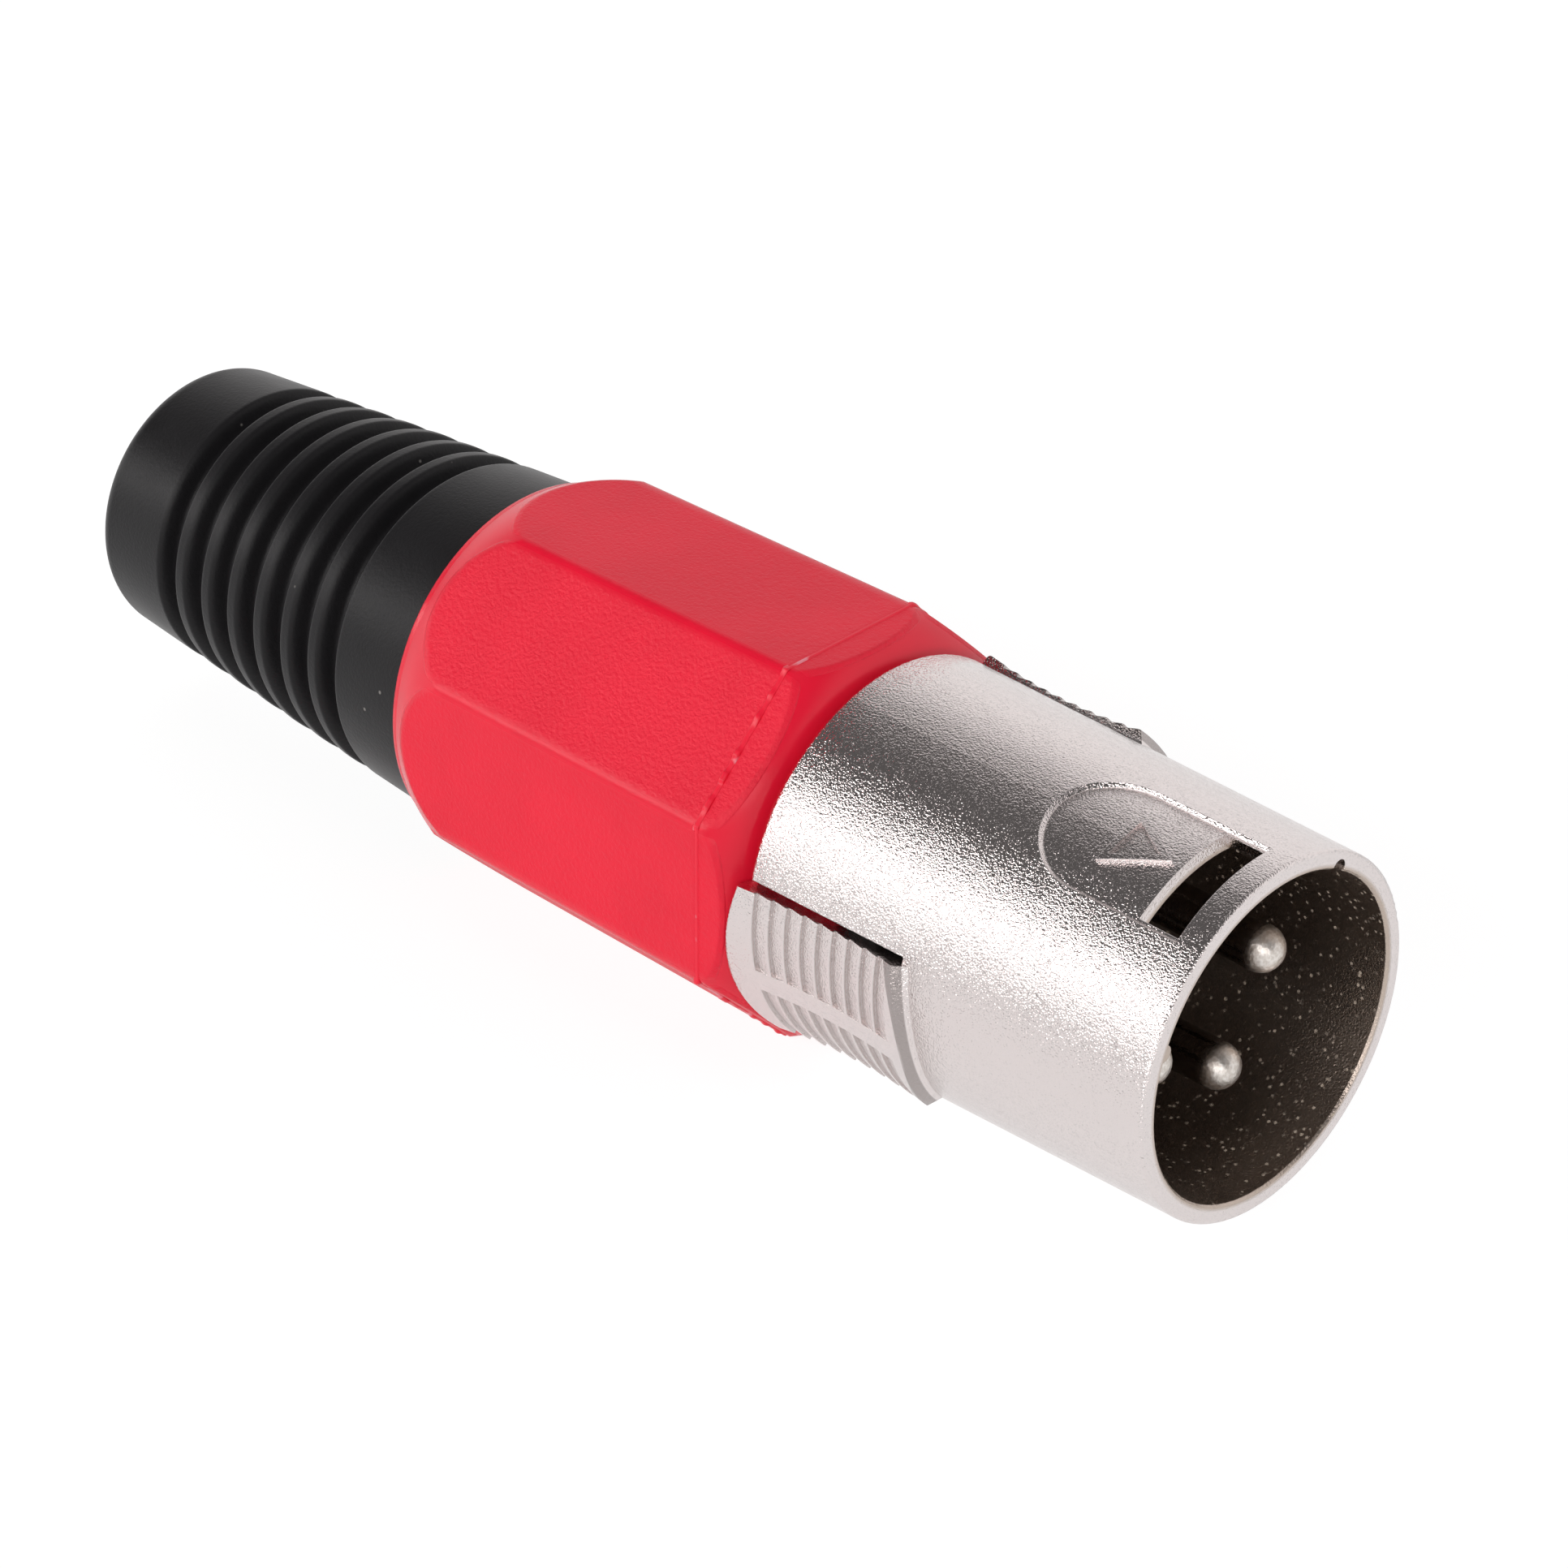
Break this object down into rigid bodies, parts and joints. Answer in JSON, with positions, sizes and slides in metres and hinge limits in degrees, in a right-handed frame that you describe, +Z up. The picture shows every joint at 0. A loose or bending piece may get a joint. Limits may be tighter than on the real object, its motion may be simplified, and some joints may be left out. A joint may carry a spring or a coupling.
{
  "type": "microphone plug",
  "caption": "Cable-mount microphone plug with a nickel-plated shell, latch window, ribbed grip tongues, octagonal red screw housing and ribbed rubber boot.",
  "frame": {"origin": "centre of the shell's mouth, in the plane of its rim", "axes": "+X along the plug's axis, out of the mouth towards the mating socket; +Z up, square to the housing flat that faces up when the plug lies on the opposite flat"},
  "size_m": [0.0766, 0.0214, 0.0214],
  "materials": {
    "nickel": "satin nickel plate on die-cast zinc",
    "carrier": "matte black",
    "contact": "bright silver plate on brass",
    "chuck": "natural white",
    "housing": "red, satin with a fine grain",
    "boot": "matte black"
  },
  "bodies": {
    "shell": {"shell": "nickel", "contact_carrier": "carrier", "ground_contact": "contact", "pin_1": "contact", "pin_2": "contact", "pin_3": "contact"},
    "chuck": {"chuck": "chuck"},
    "housing": {"housing": "housing", "boot": "boot"}
  },
  "joints": [
    {"name": "chuck_slide", "type": "slide", "parent": "shell", "child": "chuck", "axis": [-1, 0, 0], "range_m": [0, 0.005]},
    {"name": "housing_screw", "type": "hinge", "parent": "chuck", "child": "housing", "pos_m": [0, 0, 0], "axis": [-1, 0, 0], "range_deg": [0, 1440]}
  ],
  "couplings": [
    {"joint": "chuck_slide", "follows": "housing_screw", "m_per_rad": 0.00019894}
  ]
}
